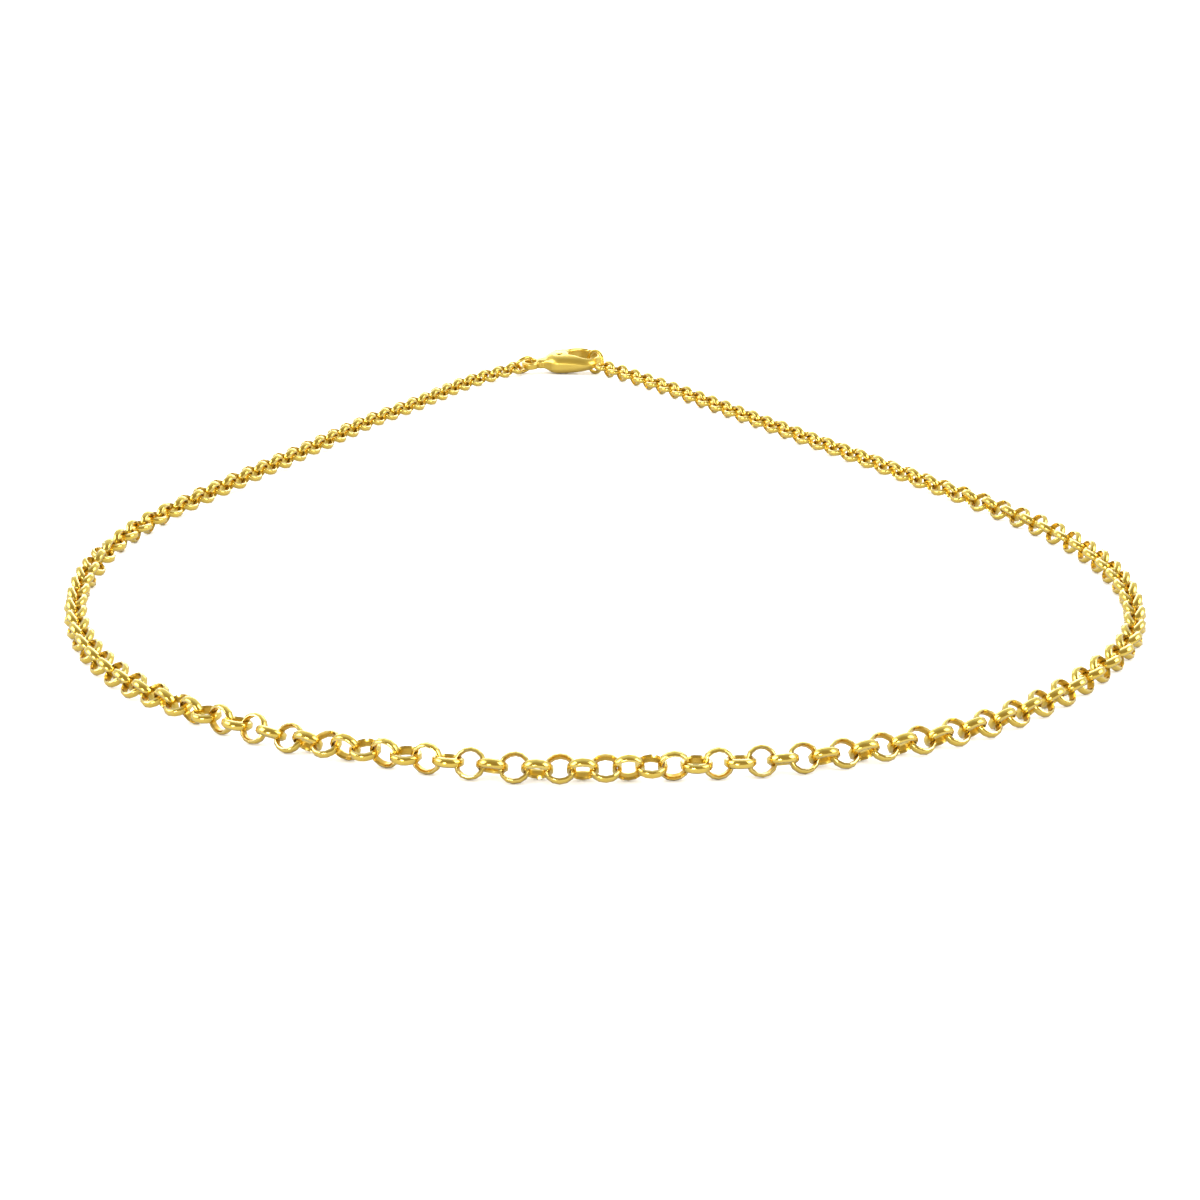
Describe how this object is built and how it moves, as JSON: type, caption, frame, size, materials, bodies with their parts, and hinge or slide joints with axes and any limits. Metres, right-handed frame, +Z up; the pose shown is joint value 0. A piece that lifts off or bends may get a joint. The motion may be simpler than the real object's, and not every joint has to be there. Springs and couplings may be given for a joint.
{
  "type": "rolo chain necklace with a lobster clasp",
  "caption": "Closed neck chain of round interlocking links, lying flat in a drop-shaped loop and fastened by a claw clasp with a sprung lever.",
  "frame": {"origin": "on the surface that the necklace lies on, under the centre of its box", "axes": "+Z up from the surface, +Y from the front of the loop towards the clasp, +X to the right seen from the front"},
  "size_m": [0.122, 0.1814, 0.0043],
  "materials": {
    "chain_gold": "bright polished yellow gold, half-round wire",
    "clasp_gold": "polished cast yellow gold with softly rounded edges",
    "ring_gold": "bright polished yellow gold, round wire"
  },
  "bodies": {
    "necklace": {"chain": "chain_gold", "clasp_body": "clasp_gold", "clasp_rivet": "clasp_gold", "clasp_ring": "ring_gold", "end_ring": "ring_gold"},
    "lever": {"clasp_lever": "clasp_gold"}
  },
  "joints": [
    {"name": "lever_hinge", "type": "hinge", "parent": "necklace", "child": "lever", "pos_m": [-0.00721, 0.08625, 0.00193], "axis": [0.0277, 0.1956, -0.9803], "range_deg": [0, 20], "stiffness_Nm_per_rad": 0.002}
  ]
}
